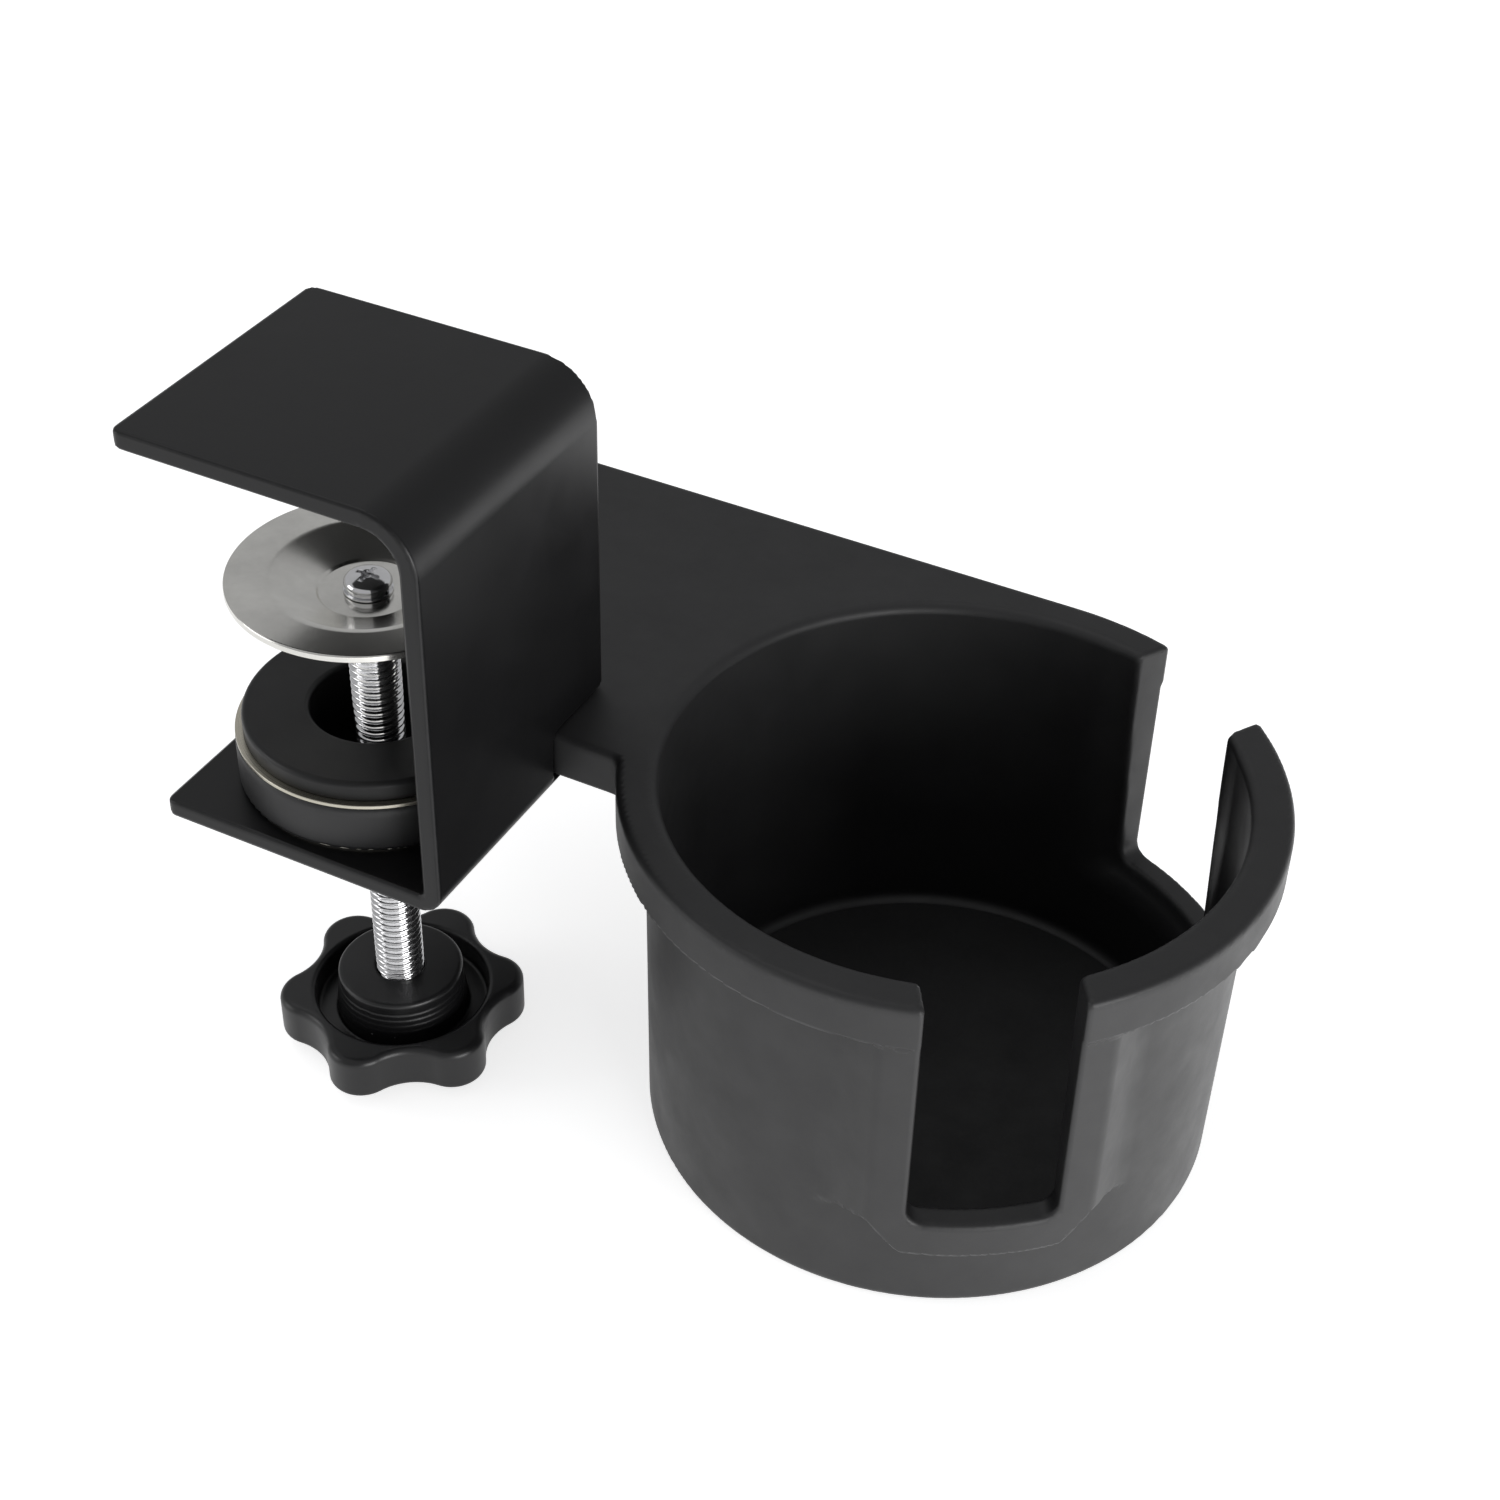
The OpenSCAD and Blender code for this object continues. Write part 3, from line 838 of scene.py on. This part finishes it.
def thread_rows(bottom, top, segments):
    """Rings of the M8 thread, with flat crests and roots and a chamfer at the rod's lower end."""
    crest, depth, crest_share, flank_share = ROD_R - 0.02, 0.72, 0.14, 0.62
    turn = np.linspace(0, 1, segments, endpoint=False)
    rows = []
    for z in np.arange(bottom + 0.05, top, PITCH / 12):
        phase = np.mod((z - bottom) / PITCH - turn, 1.0)
        fall = np.clip((np.abs(2 * phase - 1) - crest_share) / flank_share, 0, 1)
        rows.append((np.minimum(crest - depth * fall, 3.2 + (z - bottom)), z))
    return rows


def build_rod():
    """M8 rod: a threaded length, a plain neck in the disc and a blind hole for the disc's screw."""
    segments = 48
    bottom, shoulder, tip = low("threaded_rod")[2], DISC_SEAT, high("threaded_rod")[2]
    neck_r, shoulder_r, hole_depth = 3.2, 3.75, 9.0
    thread = thread_rows(bottom, shoulder - 0.3, segments)
    end = [(shoulder_r - 0.15, shoulder - 0.25), (shoulder_r, shoulder - 0.15),
           (shoulder_r, shoulder - 0.02), (neck_r, shoulder), (neck_r, tip - 0.1), (neck_r - 0.1, tip)]
    hole = [(SCREW_R + 0.02, tip), (SCREW_R, tip - 0.1), (SCREW_R, tip - hole_depth + 0.1),
            (1.2, tip - hole_depth)]
    o = stacked_rings("threaded_rod_m8", [(2.6, bottom)] + thread + end + hole, segments)
    dress(o, bright_zinc(), "zinc_steel", "clamp_screw", "threaded_rod")


def build_flat_washer():
    o = flat_ring("flat_washer_m4", "flat_washer", SCREW_HOLE_R, 0.08, 0.12, segments=64)
    dress(o, bright_zinc(), "zinc_steel", "clamp_screw", "flat_washer")


def build_spring_washer():
    z0, z1, r1 = low("spring_washer")[2], high("spring_washer")[2], high("spring_washer")[0]

    def washer_shape(x, y, z):
        d = inter(slab(np.hypot(x, y), SCREW_HOLE_R, r1), slab(z, z0, z1), 0.15)
        slit = inter(np.abs(y - (z - z0 - 0.45) * 0.5) - 0.3, -x)
        return cut(d, slit, 0.08)

    o = netted("spring_washer_m4", washer_shape, "spring_washer", 0.15)
    dress(o, bright_zinc(), "zinc_steel", "clamp_screw", "spring_washer")


def build_disc_screw():
    base, lo, hi = high("spring_washer")[2], low("disc_screw"), high("disc_screw")
    shape = pan_screw_shape(base, hi[0], hi[2] - base, SCREW_R - 0.02, base - lo[2], reach=2.1, depth=1.1)
    o = netted("disc_screw_m4", shape, "disc_screw", 0.16)
    dress(o, bright_zinc(), "zinc_steel", "clamp_screw", "disc_screw")


# ---------------------------------------------------------------- knob

def star_plan(x, y):
    """Plan of the knob: round lobes with hollow arcs between them, each arc tangent to two lobes."""
    half_pitch = math.pi / LOBES
    c, lobe_at = math.cos(half_pitch), KNOB_R - LOBE_R
    hollow_r = ((LOBE_R ** 2 - lobe_at ** 2 - KNOB_WAIST ** 2 + 2 * lobe_at * KNOB_WAIST * c)
                / (2 * (KNOB_WAIST - lobe_at * c - LOBE_R)))
    hollow_at = KNOB_WAIST + hollow_r
    hollow_x, hollow_y = hollow_at * c, hollow_at * math.sin(half_pitch)
    r = np.hypot(x, y)
    a = np.arctan2(y, x) - math.radians(LOBE_TURN) + half_pitch
    a = np.mod(a, 2 * half_pitch) - half_pitch
    u, v = r * np.cos(a), r * np.abs(np.sin(a))
    on_lobe = (u - lobe_at) * hollow_y - v * (hollow_x - lobe_at) > 0
    lobe = np.hypot(u - lobe_at, v) - LOBE_R
    hollow = hollow_r - np.hypot(u - hollow_x, v - hollow_y)
    return np.where(on_lobe, lobe, np.where(r < KNOB_WAIST * 0.7, r - KNOB_WAIST, hollow))


def hub_widening(z):
    """How much wider the knob's hub gets below its top, in small soft steps."""
    start, last, pitch, count, height, soft = 0.9, 6.6, 1.15, 5, 0.112, 0.25
    down = KNOB_TOP - z
    turns = (down - start) / pitch
    steps = np.floor(np.clip(turns, 0, count))
    short = 1 - np.clip(np.mod(turns, 1.0) / soft, 0, 1)
    stepped = (down > start) & (down < last)
    return height * np.maximum(np.where(stepped, steps - short, steps), 0)


def knob_shape(x, y, z):
    """Six-lobed knob with a raised hub in a round channel and a pocket for its nut."""
    r = np.hypot(x, y)
    d = inter(inter(star_plan(x, y), z - KNOB_Z, 1.3), KNOB_LOW - z, 0.9)
    d = cut(d, inter(r - CHANNEL_R, KNOB_Z - CHANNEL_DEPTH - z, 0.6), 0.9)
    hub = inter(r - KNOB_HUB_R - hub_widening(z), slab(z, KNOB_LOW + 1, KNOB_TOP), 0.7)
    d = join(d, hub, 0.3)
    d = cut(d, r - ROD_R - 0.02, 0.4)
    pocket = inter(hexagon(x, y, NUT_AF), z - KNOB_LOW - NUT_H - 0.5)
    return cut(d, pocket, 0.3)


def build_knob():
    step = 0.36
    o = netted("hand_knob_star", knob_shape, "hand_knob", step)
    return dress(o, knob_plastic(), "knob_plastic", "clamp_screw", "hand_knob")


def build_knob_nut():
    shape = nut_shape(low("knob_nut")[2], NUT_AF - 0.06, ROD_R + 0.02)
    dress(netted("knob_nut_hex", shape, "knob_nut", 0.35), brass(), "brass", "clamp_screw", "knob_nut")


# ---------------------------------------------------------------- floor, light and camera

def sink_with(floor, piece, clearance):
    """Lowers the floor when a moving piece, clear of it by this much at rest, comes down past it."""
    floor.location.z = clearance
    follow = floor.constraints.new("COPY_LOCATION")
    follow.target = piece
    follow.use_x = follow.use_y = False
    follow.use_offset = True
    stop = floor.constraints.new("LIMIT_LOCATION")
    stop.use_max_z = True
    stop.max_z = 0.0


def build_floor(knob):
    z, half = min(CAD_BOX[0].z, CUP_LOW * MM) - 0.0004, 4.0
    mesh = bpy.data.meshes.new("studio_floor")
    corners = [(-half, -half, z), (half, -half, z), (half, half, z), (-half, half, z)]
    mesh.from_pydata(corners, [], [(0, 1, 2, 3)])
    mesh.materials.append(floor_white())
    floor = bpy.data.objects.new("studio_floor", mesh)
    bpy.context.scene.collection.objects.link(floor)
    sink_with(floor, knob, (KNOB_LOW - CUP_LOW) * MM)


def build_world():
    """White where the camera sees it, a soft grey light for everything else."""
    world = bpy.data.worlds.new("studio")
    bpy.context.scene.world = world
    world.use_nodes = True
    tree = world.node_tree
    tree.nodes.clear()
    kinds = ("ShaderNodeBackground", "ShaderNodeBackground", "ShaderNodeMixShader",
             "ShaderNodeLightPath", "ShaderNodeOutputWorld")
    seen, lit, mix, path, out = (tree.nodes.new(kind) for kind in kinds)
    seen.inputs["Color"].default_value = (1, 1, 1, 1)
    lit.inputs["Color"].default_value = (0.98, 0.985, 1, 1)
    lit.inputs["Strength"].default_value = 0.42
    tree.links.new(path.outputs["Is Camera Ray"], mix.inputs[0])
    tree.links.new(lit.outputs[0], mix.inputs[1])
    tree.links.new(seen.outputs[0], mix.inputs[2])
    tree.links.new(mix.outputs[0], out.inputs[0])


def softbox(name, offset, size, power):
    """Square area light at an offset in metres from the object's middle, turned to face it."""
    light = bpy.data.lights.new(name, "AREA")
    light.shape = "SQUARE"
    light.size = size
    light.energy = power
    o = bpy.data.objects.new(name, light)
    o.location = (CAD_BOX[0] + CAD_BOX[1]) / 2 + Vector(offset)
    o.rotation_euler = (-Vector(offset)).to_track_quat("-Z", "Y").to_euler()
    bpy.context.scene.collection.objects.link(o)


def build_lights():
    softbox("overhead", (-0.35, 0.10, 0.95), size=0.7, power=1.0)
    softbox("left_front", (-0.85, -0.55, 0.30), size=0.5, power=1.5)
    softbox("right_side", (0.90, -0.50, 0.04), size=0.6, power=8.5)


def build_camera():
    azimuth, elevation, roll = math.radians(26.41), math.radians(38.49), math.radians(1.65)
    distance, lens = 0.4025, 61.4
    target = Vector((0.0503, 0.0280, -0.0594))
    back = Vector((math.sin(azimuth) * math.cos(elevation), -math.cos(azimuth) * math.cos(elevation),
                   math.sin(elevation)))
    right = Vector((math.cos(azimuth), math.sin(azimuth), 0))
    up = back.cross(right)
    tilted_right = right * math.cos(roll) + up * math.sin(roll)
    tilted_up = up * math.cos(roll) - right * math.sin(roll)
    cam = bpy.data.cameras.new("camera")
    cam.lens = lens
    cam.sensor_width = 36
    cam.clip_start, cam.clip_end = 0.01, 20
    o = bpy.data.objects.new("camera", cam)
    bpy.context.scene.collection.objects.link(o)
    matrix = o.matrix_world.copy()
    for column, axis in enumerate((tilted_right, tilted_up, back, target + back * distance)):
        for row in range(3):
            matrix[row][column] = axis[row]
    o.matrix_world = matrix
    bpy.context.scene.camera = o


build_bracket()
build_pad()
build_weld_nut()
build_collar()
build_collar_washer()
build_slip_washer()
build_collar_screws()
build_cup()
build_mat()
build_disc()
build_rod()
build_flat_washer()
build_spring_washer()
build_disc_screw()
knob = build_knob()
build_knob_nut()
build_floor(knob)
build_world()
build_lights()
build_camera()
bpy.context.scene.view_settings.view_transform = "Standard"
